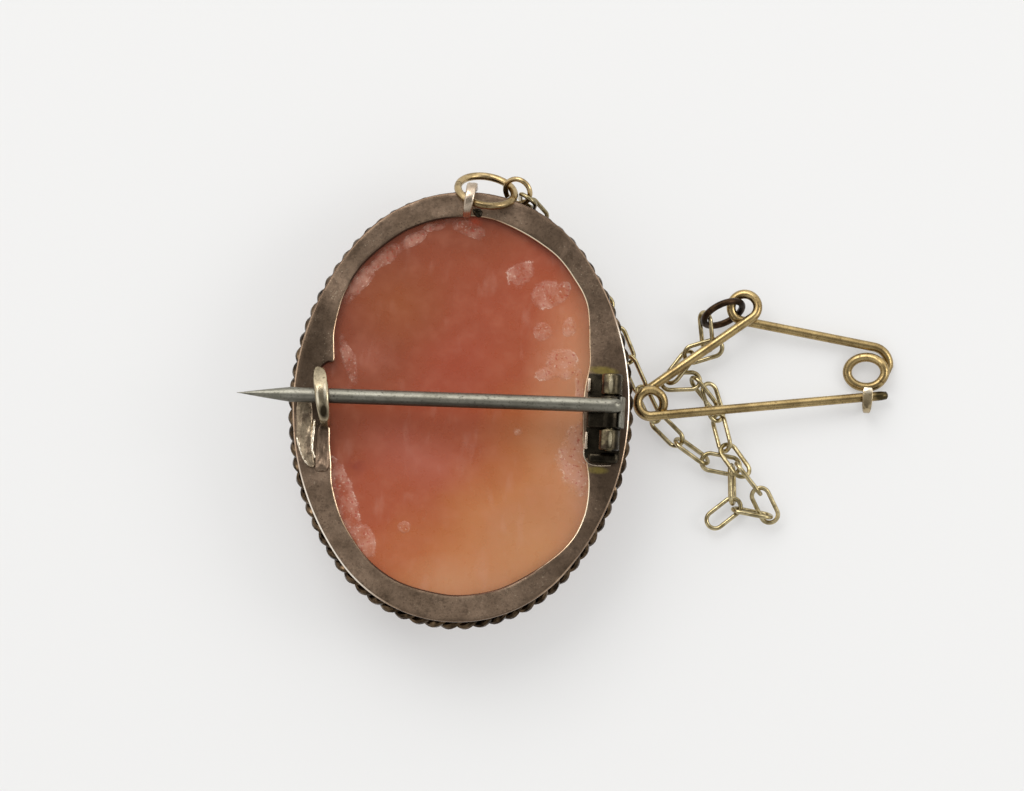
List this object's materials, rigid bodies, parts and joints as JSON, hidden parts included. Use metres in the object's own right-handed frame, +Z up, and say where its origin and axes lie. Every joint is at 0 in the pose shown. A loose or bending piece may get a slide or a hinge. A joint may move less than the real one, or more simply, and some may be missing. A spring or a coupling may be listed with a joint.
{
  "type": "cameo brooch",
  "caption": "Oval shell cameo brooch with a rope edge, hinged pin stem, hook, fine safety chain and small safety pin.",
  "frame": {"origin": "centre of the brooch's oval, on the table that it lies on", "axes": "+Y along the oval's long way, towards the ring at its top; +Z up, out of the brooch's back; +X across the oval, towards the hinge and the safety pin"},
  "size_m": [0.0527, 0.0371, 0.0103],
  "materials": {
    "frame_metal": "tarnished, worn",
    "rope_metal": "tarnished, rose-gold on the high spots",
    "shell": "satin",
    "rivet_metal": "tarnished",
    "stem_metal": "polished, worn",
    "top_ring_metal": "polished, worn",
    "chain_metal": "polished, worn",
    "end_ring_metal": "blackened",
    "safety_pin_metal": "antique brass"
  },
  "bodies": {
    "root": {"frame": "frame_metal", "rope_edge": "rope_metal", "cameo": "shell", "hinge_rivet": "rivet_metal", "top_ring": "top_ring_metal", "first_ring": "chain_metal", "link_01": "chain_metal", "link_02": "chain_metal", "link_03": "chain_metal", "link_04": "chain_metal", "link_05": "chain_metal", "link_06": "chain_metal", "link_07": "chain_metal", "link_08": "chain_metal", "link_09": "chain_metal", "link_10": "chain_metal", "link_11": "chain_metal", "link_12": "chain_metal", "link_13": "chain_metal", "link_14": "chain_metal", "link_15": "chain_metal", "link_16": "chain_metal", "link_17": "chain_metal", "link_18": "chain_metal", "link_19": "chain_metal", "link_20": "chain_metal", "link_21": "chain_metal", "link_22": "chain_metal", "link_23": "chain_metal", "link_24": "chain_metal", "link_25": "chain_metal", "link_26": "chain_metal", "end_ring": "end_ring_metal", "safety_pin": "safety_pin_metal"},
    "pin": {"pin_stem": "stem_metal"}
  },
  "joints": [
    {"name": "pin_hinge", "type": "hinge", "parent": "root", "child": "pin", "pos_m": [0.01193, 0.00023, 0.0084], "axis": [0, 1, 0], "range_deg": [0, 80]}
  ]
}
